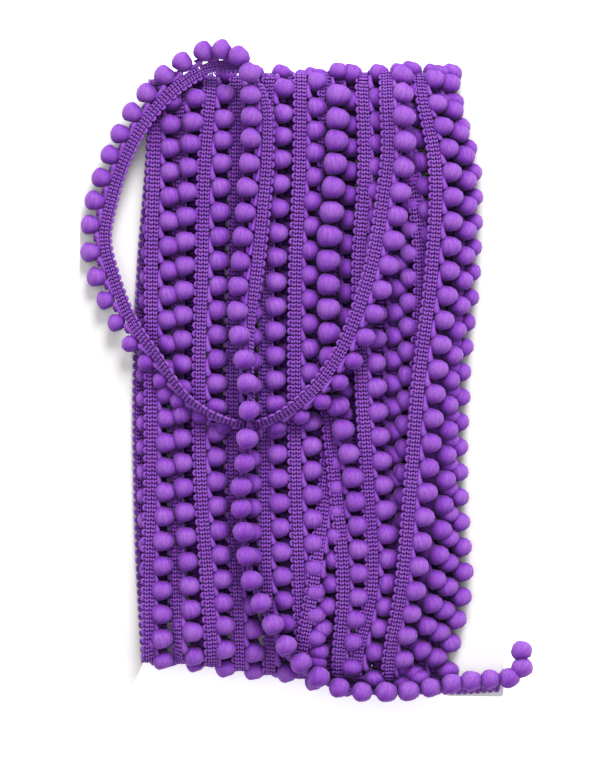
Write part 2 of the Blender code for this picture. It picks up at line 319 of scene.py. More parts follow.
class Net:
    """A node tree, with one method that adds any node."""

    def __init__(self, tree):
        self.tree = tree

    def node(self, kind, settings=None, inputs=None, out=None):
        made = self.tree.nodes.new(kind)
        for label, value in (settings or {}).items():
            setattr(made, label, value)
        for label, value in (inputs or {}).items():
            ready = [s for s in made.inputs if s.enabled]
            socket = made.inputs[label] if isinstance(label, int) else \
                next(s for s in ready if s.name == label)
            if isinstance(value, Wire):
                self.tree.links.new(value.socket, socket)
            elif socket.type == "VECTOR" and isinstance(value, (int, float)):
                socket.default_value = (value, value, value)
            else:
                socket.default_value = value
        outputs = [s for s in made.outputs if s.enabled]
        return Wire(self, next(s for s in outputs if out is None or s.name == out))


def geometry_net(name, sizes):
    """A Geometry Nodes tree with named inputs, and its group input node."""
    tree = bpy.data.node_groups.new(name, "GeometryNodeTree")
    tree.interface.new_socket("Marks", in_out="INPUT", socket_type="NodeSocketGeometry")
    tree.interface.new_socket("Geometry", in_out="OUTPUT", socket_type="NodeSocketGeometry")
    for label, kind in sizes.items():
        tree.interface.new_socket(label, in_out="INPUT", socket_type="NodeSocket" + kind)
    net = Net(tree)
    group = tree.nodes.new("NodeGroupInput")
    return net, {s.name: Wire(net, s) for s in group.outputs if s.name}


def on_path(net, path_object, distance):
    """Place, tangent, way across and way to the pompoms at a distance along the trim's path,
    and the path's length."""
    shape = net.node("GeometryNodeObjectInfo", {}, {"Object": path_object}, "Geometry")
    curve = net.node("GeometryNodeMeshToCurve", {}, {"Mesh": shape})
    found = {}
    for label in ("side", "way"):
        note = net.node("GeometryNodeInputNamedAttribute", {"data_type": "FLOAT_VECTOR"},
                        {"Name": label}, "Attribute")
        found[label] = net.node("GeometryNodeSampleCurve",
                                {"mode": "LENGTH", "data_type": "FLOAT_VECTOR"},
                                {"Curves": curve, "Value": note, "Length": distance}, "Value")
    sampler = found["side"].socket.node
    place = Wire(net, sampler.outputs["Position"])
    tangent = Wire(net, sampler.outputs["Tangent"])
    length = net.node("GeometryNodeCurveLength", {}, {"Curve": curve})
    return place, tangent, found["side"], found["way"], length


def split(net, vector):
    made = net.node("ShaderNodeSeparateXYZ", {}, {"Vector": vector})
    return [Wire(net, s) for s in made.socket.node.outputs]


def end_net(net, geometry, lowest, material):
    """Hold everything above the surface that the part rests on, and give it its material."""
    here = net.node("GeometryNodeInputPosition")
    x, y, z = split(net, here)
    z = z.maths("MAXIMUM", lowest)
    held = net.node("ShaderNodeCombineXYZ", {}, {"X": x, "Y": y, "Z": z})
    geometry = net.node("GeometryNodeSetPosition", {}, {"Geometry": geometry, "Position": held})
    geometry = net.node("GeometryNodeSetMaterial", {}, {"Geometry": geometry,
                                                        "Material": material})
    group = net.tree.nodes.new("NodeGroupOutput")
    net.tree.links.new(geometry.socket, group.inputs[0])


def note_dye(net, geometry, least, most, seed):
    """Each repeat or pompom took up the dye a little differently."""
    dye = net.node("FunctionNodeRandomValue", {"data_type": "FLOAT"},
                   {"Min": least, "Max": most, "Seed": seed})
    return net.node("GeometryNodeStoreNamedAttribute",
                    {"data_type": "FLOAT", "domain": "INSTANCE"},
                    {"Geometry": geometry, "Name": "dye", "Value": dye})


def over_thread(net, value):
    """The sum of a value over all points of the thread that a point is on."""
    thread = net.node("GeometryNodeInputMeshIsland", {}, {}, "Island Index")
    return net.node("GeometryNodeAccumulateField", {}, {"Value": value, "Group ID": thread},
                    "Total")


def knitted_band_tree():
    """Stands a stitch repeat at each mark, joins them, and bends them along the trim's path."""
    net, inputs = geometry_net("knitted_band", {
        "Path": "Object", "Stitches": "Object", "Hinge": "Float", "Reach": "Float",
        "Lowest": "Float", "Seed": "Int", "Yarn": "Material"})
    stitches = net.node("GeometryNodeObjectInfo", {}, {"Object": inputs["Stitches"]}, "Geometry")
    stretch = net.node("GeometryNodeInputNamedAttribute", {"data_type": "FLOAT"},
                       {"Name": "stretch"}, "Attribute")
    size = net.node("ShaderNodeCombineXYZ", {}, {"X": 1.0, "Y": stretch, "Z": 1.0})
    repeats = net.node("GeometryNodeInstanceOnPoints", {}, {
        "Points": inputs["Marks"], "Instance": stitches, "Scale": size})
    repeats = note_dye(net, repeats, least=0.94, most=1.04, seed=inputs["Seed"])
    band = net.node("GeometryNodeRealizeInstances", {}, {"Geometry": repeats})
    x, y, z = split(net, net.node("GeometryNodeInputPosition"))
    place, tangent, side, way, length = on_path(net, inputs["Path"], y)
    # Threads that would lie wholly past an end of the path are left out.
    on_it = y.maths("GREATER_THAN", 0.0) * y.maths("LESS_THAN", length)
    band = net.node("GeometryNodeDeleteGeometry", {}, {
        "Geometry": band, "Selection": over_thread(net, on_it).maths("LESS_THAN", 0.5)})
    face = tangent.cross(side).straight()
    across = face.cross(tangent)
    beyond = (x - inputs["Hinge"]).maths("MAXIMUM", 0.0)
    on_band = x - beyond
    share = beyond.maths("DIVIDE", inputs["Reach"] - inputs["Hinge"])
    hinge_way = way - across * inputs["Hinge"]
    bent = place + across * on_band + hinge_way * share + face * z
    # Bending turns every thread inside out, but not those past the hinge where the pompoms lie
    # closer to the band's middle than the hinge does.
    near = hinge_way.maths("DOT_PRODUCT", across).maths("LESS_THAN", 0.0)
    mirrored = near * x.maths("GREATER_THAN", inputs["Hinge"])
    mostly = over_thread(net, mirrored) - over_thread(net, 1.0) * 0.5
    band = net.node("GeometryNodeFlipFaces", {}, {
        "Mesh": band, "Selection": mostly.maths("LESS_THAN", 0.0)})
    band = net.node("GeometryNodeSetPosition", {}, {"Geometry": band, "Position": bent})
    end_net(net, band, inputs["Lowest"], inputs["Yarn"])
    return net.tree


def grow(name, tree, marks, settings):
    """Run a tree on marks and keep the result as a plain mesh."""
    modifier = marks.modifiers.new(name, "NODES")
    modifier.node_group = tree
    for item in tree.interface.items_tree:
        if item.name in settings:
            modifier[item.identifier] = settings[item.name]
    bpy.context.view_layer.update()
    depsgraph = bpy.context.evaluated_depsgraph_get()
    mesh = bpy.data.meshes.new_from_object(marks.evaluated_get(depsgraph),
                                           preserve_all_data_layers=True, depsgraph=depsgraph)
    mesh.name = name
    bpy.data.objects.remove(marks)
    made = bpy.data.objects.new(name, mesh)
    scene.collection.objects.link(made)
    return made


def marks_along(name, distances, numbers):
    """A point for each pompom, at its distance along the trim, with its stretch or its size."""
    points = np.zeros((len(distances), 3))
    points[:, 1] = distances
    return plain_mesh(name, points, numbers=numbers)


# Violet acrylic yarn: matt, with a soft bloom of loose fibre, and painted shade that darkens it down
# between the threads.
# Lit, shaded and deep-shade tones of the violet: the colour is mixed between them by the yarn's
# random tone and fibre streaks, and by painted light and shade.
YARN_LIT = (0.37, 0.148, 0.585, 1.0)
YARN_SHADED = (0.20, 0.030, 0.45, 1.0)
YARN_DEEP_SHADE = (0.008, 0.001, 0.020, 1.0)
YARN_BRIGHTNESS = 0.79
SHADE_REACH = 7.0 * MM  # how far round a place its neighbours cast painted shade on it


def dyed_yarn(name, streak_scale, streak_depth, bump, painted_shade_power):
    """Yarn with streaks along its fibres, and painted shade that darkens it the closer its neighbours
    lie.
    """
    material = bpy.data.materials.new(name)
    material.use_nodes = True
    net = Net(material.node_tree)
    shader = material.node_tree.nodes["Principled BSDF"]
    grain = net.node("ShaderNodeAttribute", {"attribute_name": "grain"}, out="Vector")
    shade = net.node("ShaderNodeAttribute", {"attribute_name": "shade"}, out="Fac")
    dye = net.node("ShaderNodeAttribute", {"attribute_name": "dye"}, out="Fac")
    place = net.node("ShaderNodeTexCoord", out="Object")
    streaks = net.node("ShaderNodeTexNoise", {}, {
        "Vector": grain, "Scale": streak_scale, "Detail": 3.0, "Roughness": 0.6}, "Fac")
    cloud = net.node("ShaderNodeTexNoise", {}, {
        "Vector": place, "Scale": 60.0, "Detail": 2.0, "Roughness": 0.5}, "Fac")
    # Ambient occlusion darkens the colour where neighbours lie close: painted shade.
    open_sky = net.node("ShaderNodeAmbientOcclusion", {"samples": 6}, {"Distance": SHADE_REACH}, "AO")
    fibre = (1.0 - streak_depth) + streaks * (2 * streak_depth)
    # The painted light and shade of each place, together with its random tone and fibre streaks.
    light = shade * dye * fibre * (0.9 + cloud * 0.2) * (open_sky ** painted_shade_power) * YARN_BRIGHTNESS
    shaded = net.node("ShaderNodeMix", {"data_type": "RGBA"},
                      {"Factor": light * 2.0, "A": YARN_DEEP_SHADE, "B": YARN_SHADED})
    colour = net.node("ShaderNodeMix", {"data_type": "RGBA"},
                      {"Factor": light * 2.0 - 1.0, "A": shaded, "B": YARN_LIT})
    net.tree.links.new(colour.socket, shader.inputs["Base Color"])
    raised = net.node("ShaderNodeBump", {}, {
        "Strength": 0.5, "Distance": bump, "Height": streaks}, "Normal")
    net.tree.links.new(raised.socket, shader.inputs["Normal"])
    shader.inputs["Roughness"].default_value = 0.8
    shader.inputs["Specular IOR Level"].default_value = 0.25
    shader.inputs["Sheen Weight"].default_value = 0.25
    shader.inputs["Sheen Roughness"].default_value = 0.5
    shader.inputs["Sheen Tint"].default_value = (0.80, 0.50, 1.0, 1.0)
    return material


def loose_frames():
    """The loose end's line, and the way across its band."""
    run, _ = smooth_run(LOOSE_END, LOOSE_STEP)
    line = run[:, :3]
    along = tangents(line)
    left = unit(np.cross((0.0, 0.0, 1.0), along))
    up = np.cross(along, left)
    roll = np.radians(run[:, 3])[:, None]
    side = left * np.cos(roll) + up * np.sin(roll)
    return line, side


loose_line, loose_side = loose_frames()
# Past the band's cut end the pompoms' yarn goes on alone, through the last two pompoms.
THROUGH = 0.1 * MM  # from that yarn to the pompoms' middle
past = np.array(PAST_THE_CUT)
past_side = np.tile([-1.0, 0.0, 0.0], (len(past), 1))
loose_path = trim_path("loose_path", np.vstack([loose_line, past]),
                       np.vstack([loose_side, past_side]),
                       np.vstack([loose_side * REACH, past_side * THROUGH]))
loose_numbers, loose_places = zip(*LOOSE_MARKS)
loose_at = np.interp(range(1, loose_numbers[-1] + 1), loose_numbers, loose_places)
loose_stretch = np.gradient(loose_at) / PITCH  # how far apart they lie, against PITCH

band_yarn = dyed_yarn("violet_band_yarn", streak_scale=5.0, streak_depth=0.2, bump=0.05 * MM,
                      painted_shade_power=1.0)
band_tree = knitted_band_tree()
LOWEST = 0.2 * MM  # nothing lies lower than this over the floor

fine_stitches = stitch_repeat("fine_stitches", "fine")
loose_heading = grow("loose_heading", band_tree,
                     marks_along("loose_marks", loose_at[:-1], {"stretch": loose_stretch[:-1]}),
                     {"Path": loose_path, "Stitches": fine_stitches, "Hinge": HINGE,
                      "Reach": REACH, "Lowest": LOWEST, "Seed": 1, "Yarn": band_yarn})
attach(loose_heading, "root")
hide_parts("loose_band")


# ---- the loose end's pompoms ----
# Each pompom is the trim's thick soft yarn, let out between two ties so that it springs into a
# ball. The ties sit on the side nearest the band. The last two curl up past the band's cut end.
POMPOM_WIDTH = 8.4 * MM
POMPOM_LENGTH = 7.5 * MM
NECK = 0.2 * MM  # how far the tied yarn reaches past each end
PINCH = 1.3 * MM  # how far the ties sit from a pompom's middle, towards the band
INWARD = 0.25 * MM  # how far a pompom's middle sits towards the band
FULL_ENDS = 0.84  # below 1, a pompom's ends are fuller than a ball's
FLATNESS = 0.9  # its height against its width
RIDGE_HEIGHT = 0.07  # how far the yarn's ridges stand out, as a share of its radius
POMPOM_KINDS = 5
SEGMENTS = 10
RING_ANGLES = (-80, -56, -28, 0, 28, 56, 80)


def pompom_shape(number):
    """One pompom: its yarn runs along Y and is drawn together at both ends."""
    choose = random.Random(number)
    ridges = [choose.uniform(0.3, 1.0) * (1 if k % 2 else -1) for k in range(SEGMENTS)]
    fullness = choose.uniform(0.97, 1.03)
    points, shades, grains, faces = [], [], [], []
    for ring, angle in enumerate(RING_ANGLES):
        slope = math.sin(math.radians(angle))
        round_part = math.cos(math.radians(angle)) ** FULL_ENDS
        middle = -INWARD - PINCH * abs(slope) ** 6
        for k in range(SEGMENTS):
            turn = 2 * math.pi * k / SEGMENTS
            radius = POMPOM_WIDTH / 2 * fullness * round_part
            radius *= 1 + RIDGE_HEIGHT * ridges[k] * (0.2 + 0.8 * slope * slope)
            points.append((middle + radius * math.cos(turn), POMPOM_LENGTH / 2 * slope,
                           FLATNESS * radius * math.sin(turn)))
            # Painted shade: each pompom is painted darker towards its tied ends, and its ridges are
            # painted lighter and its furrows darker.
            shades.append(1.0 - 0.4 * slope ** 4 + 0.06 * ridges[k] * abs(slope))
            grains.append((math.cos(turn), math.sin(turn), 0.15 * slope + 2.0 * number))
    for way in (-1, 1):
        points.append((-PINCH - 0.5 * MM, way * (POMPOM_LENGTH / 2 + NECK), 0.0))
        # The tied ends are painted dark, as painted shade.
        shades.append(0.45)
        grains.append((0.0, 0.0, 0.15 * way + 2.0 * number))
    start, end = len(points) - 2, len(points) - 1
    last = (len(RING_ANGLES) - 1) * SEGMENTS
    for k in range(SEGMENTS):
        j = (k + 1) % SEGMENTS
        faces.append((start, k, j))
        faces.append((last + j, last + k, end))
        for ring in range(len(RING_ANGLES) - 1):
            near, far = ring * SEGMENTS, (ring + 1) * SEGMENTS
            faces.append((near + k, far + k, far + j, near + j))
    return plain_mesh(f"pompom_kind_{number}", points, faces, numbers={"shade": shades},
                      vectors={"grain": grains})


def threaded_pompoms_tree():
    """Sets a pompom at each mark, beside the band, with its yarn along the trim's path."""
    net, inputs = geometry_net("threaded_pompoms", {
        "Path": "Object", "Kinds": "Collection", "Number of kinds": "Int", "Tumble": "Float",
        "Lowest": "Float", "Seed": "Int", "Yarn": "Material"})
    _, y, _ = split(net, net.node("GeometryNodeInputPosition"))
    place, tangent, _, way, _ = on_path(net, inputs["Path"], y)
    points = net.node("GeometryNodeSetPosition", {}, {
        "Geometry": inputs["Marks"], "Position": place + way})
    turned = net.node("FunctionNodeAxesToRotation",
                      {"primary_axis": "Y", "secondary_axis": "X"},
                      {"Primary Axis": tangent, "Secondary Axis": way})
    lean = inputs["Tumble"]
    tumble = net.node("FunctionNodeRandomValue", {"data_type": "FLOAT_VECTOR"}, {
        "Min": lean * (-0.5, -1.0, -0.5), "Max": lean * (0.5, 1.0, 0.5),
        "Seed": inputs["Seed"] + 2.0})
    tumbled = net.node("FunctionNodeEulerToRotation", {}, {"Euler": tumble})
    rotation = net.node("FunctionNodeRotateRotation", {"rotation_space": "LOCAL"}, {
        "Rotation": turned, "Rotate By": tumbled})
    kinds = net.node("GeometryNodeCollectionInfo", {}, {
        "Collection": inputs["Kinds"], "Separate Children": True, "Reset Children": True})
    pick = net.node("FunctionNodeRandomValue", {"data_type": "INT"}, {
        "Min": 0, "Max": inputs["Number of kinds"] - 1.0, "Seed": inputs["Seed"]})
    size = net.node("GeometryNodeInputNamedAttribute", {"data_type": "FLOAT"},
                    {"Name": "size"}, "Attribute")
    swell = net.node("FunctionNodeRandomValue", {"data_type": "FLOAT"}, {
        "Min": 0.95, "Max": 1.05, "Seed": inputs["Seed"] + 1.0}) * size
    scale = net.node("ShaderNodeCombineXYZ", {}, {"X": swell, "Y": size, "Z": swell})
    pompoms = net.node("GeometryNodeInstanceOnPoints", {}, {
        "Points": points, "Instance": kinds, "Pick Instance": True, "Instance Index": pick,
        "Rotation": rotation, "Scale": scale})
    pompoms = note_dye(net, pompoms, least=0.9, most=1.06, seed=inputs["Seed"] + 3.0)
    pompoms = net.node("GeometryNodeRealizeInstances", {}, {"Geometry": pompoms})
    end_net(net, pompoms, inputs["Lowest"], inputs["Yarn"])
    return net.tree


pompom_yarn = dyed_yarn("violet_pompom_yarn", streak_scale=11.0, streak_depth=0.6,
                        bump=0.35 * MM, painted_shade_power=1.25)
pompom_kinds = bpy.data.collections.new("pompom_kinds")
scene.collection.children.link(pompom_kinds)
for number in range(POMPOM_KINDS):
    kind = pompom_shape(number)
    scene.collection.objects.unlink(kind)
    pompom_kinds.objects.link(kind)
pompom_tree = threaded_pompoms_tree()

past_steps = np.linalg.norm(np.diff(np.vstack([loose_line[-1:], past]), axis=0), axis=1)
# The last two pompoms hang at the second and third places past the cut.
threaded_at = [*loose_at, *(loose_at[-1] + np.cumsum(past_steps)[1:3])]
# Pompoms are fullest on the first run, and pressed where the runs cross.
LOOSE_FULLNESS = ((1, 1.0), (4, 1.06), (9, 1.0), (13, 0.84), (24, 0.82), (27, 0.96), (78, 0.98))
loose_sizes = np.interp(range(1, len(threaded_at) + 1), *zip(*LOOSE_FULLNESS))
loose_pompoms = grow("loose_pompoms_row", pompom_tree,
                     marks_along("loose_pompom_marks", threaded_at, {"size": loose_sizes}),
                     {"Path": loose_path, "Kinds": pompom_kinds,
                      "Number of kinds": POMPOM_KINDS, "Tumble": 0.35, "Lowest": LOWEST,
                      "Seed": 11, "Yarn": pompom_yarn})
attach(loose_pompoms, "root")
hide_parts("loose_pompoms")


# ---- the wound turns' headings ----
# The same trim, about 12 m of it, wound over the card's notches. The turns lie flat over the
# notches and loosely between them, each band over the last turn's pompoms.
# The places and heights of the turns are in millimetres, up to where rows is multiplied by MM.
CARD_TOP, CARD_BASE = 12.0, 10.0
NOTCH_Y = 108.0
FRONT_Y = (108, 80, 40, 0, -40, -80, -108)
HEIGHTS_Y = (-80, 0, 80)  # where a turn's heights and its pompoms' fullness are given
WOUND_STEP = 1.2 * MM  # between the points of the wound line
FOLD_PRESS = 0.5  # how much of its rise a turn keeps where it is drawn over a notch
# How far the turns stand out past the notches' floors, which grows from left to right.
FOLD_X = (-50, -31, -9, 20)
TOP_REACH = {"band": (1.2, 2.4, 4.3, 5.0), "pompom": (1.4, 3.4, 5.4, 6.5)}
BOTTOM_REACH = {"band": (0.3, 1.4, 4.4, 7.4), "pompom": (0.2, 1.8, 3.8, 9.5)}
HIDDEN_RISE = 3.0  # a turn whose pompoms lie lower is hidden under the others,
HIDDEN_REACH = 0.75  # and its folds stand out less
# Round a fold: the angle from the front, and the share of the way across to the back's run.
FOLD_STEPS = ((45, 0.0), (90, 0.08), (135, 0.3))
BACK_Y = (-108, -85, -30, 30, 85, 108)
BAND_DEPTH = {"outer": 8.5, "inner": 1.7}  # below the card's underside
POMPOM_DEPTH = {"outer": 6.3, "inner": 3.7}
BACK_DRIFT = 0.4  # how far a run up the back strays to either side

Turn = namedtuple("Turn", "bands pompoms band_rise pompom_rise tilt pompom_y pitch"
                          " back_x back stitches fullness", defaults=((1.0, 1.0, 1.0),))
FIRST_ON_LEFT = 8  # the turns before this one are wound on the right, the rest from the left
# Each turn down the front: x of its band and of its pompoms at FRONT_Y, how high they lie over
# the card at the top, middle and bottom, how its band tilts, where one of its pompoms is, and
# where the turn runs up the back.
TURNS = (
    Turn((31, 32.5, 33, 31.6, 33, 36, 34), (36, 38, 38.9, 37.6, 39, 41, 39),
         (2, 2, 2), (4.4, 4.4, 4.4), 10, 41.4, 8.94, 33, "inner", "plain"),
    Turn((35, 37, 37.3, 37.3, 36.3, 38, 36), (41, 43, 43.3, 43.3, 42.3, 44, 42),
         (3.5, 3.5, 3.5), (6.4, 6.4, 6.2), 10, 37.3, 9.11, 36.5, "inner", "plain"),
    Turn((37, 42.5, 47.3, 46.5, 46, 44, 40), (42.9, 47.2, 52, 53, 53, 51, 47),
         (9, 8, 5), (9, 7, 6), 0, 71.1, 9.1, 40, "outer", "full"),
    Turn((40, 43, 43.5, 43, 42, 42, 40), (46, 49, 49.5, 49, 48, 48, 46),
         (0.8, 0.8, 0.8), (2.4, 2.4, 2.4), 5, 15, 9.1, 42, "outer", "plain", (0.62,) * 3),
    Turn((46.3, 51.6, 51.2, 47.1, 44.6, 41.6, 37.8), (51.5, 57.3, 57.6, 53.5, 50.6, 46.7, 43.0),
         (14, 15, 14.5), (13.2, 14.2, 13.8), -8, 49.0, 9.15, 44.5, "inner", "full"),
    Turn((48, 52, 54, 53, 52.5, 53.0, 49.4), (54, 58, 60, 59, 58.5, 59.0, 55.4),
         (2.8, 2.8, 2.8), (6, 6, 6.5), 8, -68.9, 9.1, 49, "inner", "plain"),
    Turn((51.7, 57.0, 57, 52.8, 51.3, 48.2, 43.5), (57.4, 63.0, 63.0, 58.7, 57.2, 54.1, 49.3),
         (6.5, 6.5, 6.5), (9.5, 9.5, 9.0), 10, 54.9, 9.3, 51.5, "outer", "plain"),
    Turn((52.4, 59.2, 59.8, 57, 56.4, 58.8, 54.2), (58.0, 65.2, 65.8, 63.0, 62.4, 64.8, 60.0),
         (2, 2, 2), (4.8, 4.8, 4.8), 8, 50.0, 9.35, 0, "inner", "plain"),
    Turn((-52.5, -53.5, -56, -57, -56.2, -54.2, -52), (-51, -52.5, -54.5, -55.2, -54.6, -52.5, -50),
         (1.5, 1.5, 1.5), (3.4, 3.6, 3.2), 0, -45.1, 9.1, -55, "outer", "full", (0.8,) * 3),
    Turn((-50, -49.5, -49.5, -49.5, -49, -48, -47), (-44, -43.5, -43.5, -43.5, -43, -42, -41),
         (0.8, 0.8, 0.8), (2.4, 2.4, 2.4), 5, 5, 9.1, -51.5, "inner", "plain", (0.62,) * 3),
    Turn((-52.6, -52.6, -52.9, -52.4, -52.0, -52.3, -51.9),
         (-46.7, -46.7, -46.4, -46.8, -46.5, -47.3, -46.8),
         (7.5, 8, 7.5), (7.2, 7.4, 7.2), -8, 39.7, 9.18, -48.2, "inner", "full"),
    Turn((-43.2, -42.9, -42.7, -42.5, -42.3, -41.9, -40.6),
         (-37.5, -39.6, -40.5, -41.1, -39.8, -37.0, -34.8),
         (6.2, 6.2, 6.2), (8, 8.2, 7.5), 10, 41.6, 9.18, -41.5, "outer", "full"),
    Turn((-38, -38.5, -39, -39, -38, -36, -34), (-32, -32.5, -33, -33, -32, -30, -28),
         (0.8, 0.8, 0.8), (2.4, 2.4, 2.4), 5, 3, 9.1, -34.7, "inner", "plain", (0.62,) * 3),
    Turn((-28, -28, -28.5, -28.5, -27.5, -26, -25), (-22, -22, -22.5, -22.5, -21.5, -20, -19),
         (0.8, 0.8, 0.8), (2.4, 2.4, 2.4), 5, 20, 9.1, -31.5, "inner", "plain", (0.62,) * 3),
    Turn((-32.2, -33.7, -34.1, -34.5, -33.4, -30.1, -28.3),
         (-26.7, -27.5, -28.0, -28.1, -27.5, -24.6, -23.3),
         (8.5, 9, 8.5), (7.6, 7.8, 7.4), -5, 43.6, 9.13, -28, "outer", "full"),
    Turn((-22.6, -22.2, -22.0, -22.0, -21.4, -19.4, -18.1),
         (-16, -15.8, -15.5, -15, -14.5, -13.5, -12.3),
         (7, 7, 7), (7.3, 7.3, 7.3), 5, -39.1, 9.1, -21.2, "inner", "full"),
    Turn((-17.5, -17.5, -17.5, -17.5, -17, -16, -15), (-11.5, -11.5, -11.5, -11.5, -11, -10, -9),
         (0.8, 0.8, 0.8), (2.4, 2.4, 2.4), 5, -30, 9.1, -18, "inner", "plain", (0.62,) * 3),
    Turn((-10.3, -10.1, -9.9, -9.8, -9.4, -8.3, -6.6), (-4.7, -5.5, -6.6, -6.3, -4.3, -2.0, -0.2),
         (7, 7, 7.5), (8.5, 8.5, 7.5), 12, 45.7, 9.14, -14.5, "outer", "full"),
    Turn((-8, -8, -8.5, -8.5, -7, -6, -5), (-2, -2.2, -3, -3, -1.5, 0, 1),
         (1, 1, 1), (3.6, 3.6, 3.4), 10, 47.5, 9.1, -7.7, "inner", "plain", (0.8,) * 3),
    Turn((-2, -2.3, -3, -3, -2, -0.5, 0.5), (4, 3.7, 3, 3, 4, 5.5, 6.5),
         (0.8, 0.8, 0.8), (2.4, 2.4, 2.4), 5, -20, 9.1, -4, "inner", "plain", (0.62,) * 3),
    Turn((1.5, 1.7, 0.8, 1.0, 1.9, 3.9, 5.5), (7.6, 7.4, 6.3, 7.0, 8.1, 9.5, 10.5),
         (9, 9.5, 8.5), (8.6, 8.8, 8), -5, 49.2, 9.09, -1, "outer", "full"),
    Turn((3.5, 3.5, 3.5, 3.5, 5, 7, 8), (9.5, 9.5, 9.5, 9.5, 11, 13, 14),
         (0.8, 0.8, 0.8), (2.4, 2.4, 2.4), 5, -10, 9.1, 2.5, "inner", "plain", (0.62,) * 3),
    Turn((10.6, 11.1, 11.7, 12.3, 16.8, 20.5, 19.3), (15.7, 14.8, 12.8, 14.9, 23.5, 26.0, 24),
         (8.5, 8.5, 9.5), (12.5, 12.5, 9.5), 0, 45.0, 8.96, 5.8, "inner", "full", (1.13, 1.07, 0.97)),
    Turn((15, 15, 14.8, 14.5, 13.1, 8.9, 5), (20.7, 20.4, 20.3, 19.4, 17.6, 15.5, 11),
         (5, 5.5, 10), (7, 7, 6.5), 0, 43.6, 9.07, 12.5, "outer", "full"),
    Turn((9, 9, 9, 10, 13, 15.5, 14), (15, 15, 15, 16, 19, 21.5, 20),
         (0.8, 0.8, 0.8), (2.4, 2.4, 2.4), 5, -20, 9.1, 16, "inner", "plain", (0.62,) * 3),
    Turn((20, 20, 20, 21, 23, 26, 27), (26, 26, 26, 27, 29, 32, 33),
         (0.8, 0.8, 0.8), (2.4, 2.4, 2.4), 5, 10, 9.1, 19.3, "inner", "plain", (0.62,) * 3),
    Turn((24.6, 25.9, 24.2, 25.8, 28.7, 30.7, 25.7), (30.7, 30.0, 30.6, 31.0, 34.3, 37.2, 32.6),
         (11, 11, 10), (9.4, 10, 9.6), -5, 73.4, 9.11, 26, "outer", "full"),
)


def rise_at(rises, y):
    """A turn's height over the card on the front: pressed down at a notch."""
    middle = np.interp(y, HEIGHTS_Y, rises[::-1])
    return middle * (FOLD_PRESS if abs(y) >= NOTCH_Y else 1.0)


def fold_rows(front, back, front_height, back_depth, side, part, wound):
    """Places (x, y, z) on the way round a notch's floor, from the front to the back."""
    reach = np.interp(front, FOLD_X, (TOP_REACH if side > 0 else BOTTOM_REACH)[part])
    reach *= HIDDEN_REACH if wound.pompom_rise[1] < HIDDEN_RISE else 1.0
    rows = []
    for angle, share in FOLD_STEPS:
        turn = math.radians(angle)
        thick = front_height if angle <= 90 else back_depth
        rows.append((front + (back - front) * share,
                     side * (NOTCH_Y + reach * math.sin(turn)),
                     (CARD_TOP + CARD_BASE) / 2
                     + ((CARD_TOP - CARD_BASE) / 2 + thick) * math.cos(turn)))
    return rows


def turn_rows(turn, following):
    """One turn: down the front, round the bottom notch, up the back, round the top notch."""
    strands = []
    for part, across, rises, depths, next_across, next_rises, offset in (
            ("band", turn.bands, turn.band_rise, BAND_DEPTH, following.bands,
             following.band_rise, 0.0),
            ("pompom", turn.pompoms, turn.pompom_rise, POMPOM_DEPTH, following.pompoms,
             following.pompom_rise, REACH / MM)):
        rows = [(x, y, CARD_TOP + rise_at(rises, y)) for x, y in zip(across, FRONT_Y)]
        depth = depths[turn.back]
        near_fold = FOLD_PRESS * depth
        up_at = turn.back_x + offset
        rows += fold_rows(across[-1], up_at, rise_at(rises, -NOTCH_Y), near_fold, -1, part,
                          turn)
        for y in BACK_Y:
            if abs(y) >= NOTCH_Y:
                end = across[-1] if y < 0 else next_across[0]
                rows.append((end + (up_at - end) * 0.5, y, CARD_BASE - near_fold))
            else:
                drift = BACK_DRIFT * math.sin(0.05 * y + turn.back_x)
                rows.append((up_at + drift, y, CARD_BASE - depth))
        rows += fold_rows(next_across[0], up_at, rise_at(next_rises, NOTCH_Y), near_fold, 1,
                          part, following)[::-1]
        strands.append(np.array(rows))
    tilts = np.zeros(len(strands[0]))
    tilts[:len(FRONT_Y)] = turn.tilt
    return np.column_stack([*strands, tilts])


def wound_rows():
    """The whole winding as one run of places (band, pompoms and the band's tilt), up to where the
    loose end goes on."""
    last = Turn(bands=(33.5,) * 7, pompoms=(39.4,) * 7, band_rise=(5,) * 3, pompom_rise=(5,) * 3,
                tilt=0, pompom_y=0, pitch=9, back_x=0, back="", stitches="")
    parts = [turn_rows(turn, following) for turn, following in zip(TURNS, TURNS[1:] + (last,))]
    return np.vstack(parts), [len(part) for part in parts]


rows, row_counts = wound_rows()
# The turn that crosses the back to start the left-hand turns runs slantwise against the card. At
# each row of its folds and its run up the back, this share of the way across lies behind it.
SLANT = np.array([0, 0.03, 0.06, 0.1, 0.2, 0.4, 0.6, 0.8, 0.92, 0.97, 0.99, 1.0])
on_right, on_left = TURNS[FIRST_ON_LEFT - 1], TURNS[FIRST_ON_LEFT]
cross_end = sum(row_counts[:FIRST_ON_LEFT])
cross_over = slice(cross_end - len(SLANT), cross_end)
rows[cross_over, 0] = on_right.bands[-1] + (on_left.bands[0] - on_right.bands[-1]) * SLANT
rows[cross_over, 3] = on_right.pompoms[-1] + (on_left.pompoms[0] - on_right.pompoms[-1]) * SLANT
rows[:, :6] *= MM
wound_run, row_distances = smooth_run(rows, WOUND_STEP)
wound_line = wound_run[:, :3]
wound_along = tangents(wound_line)
tilt = np.radians(wound_run[:, 6])[:, None]
sideways = np.array([[1.0, 0.0, 0.0]])
wound_side = sideways * np.cos(tilt) + np.cross(wound_along, sideways) * np.sin(tilt)
wound_path = trim_path("wound_path", wound_line, wound_side, wound_run[:, 3:6] - wound_line)


# The front's even spacing goes on past the notches' lines by up to this much.
PAST_TOP, PAST_BOTTOM = 8.0 * MM, 5.0 * MM
BACK_PITCH = 9.05 * MM  # about how far apart pompoms lie on the back


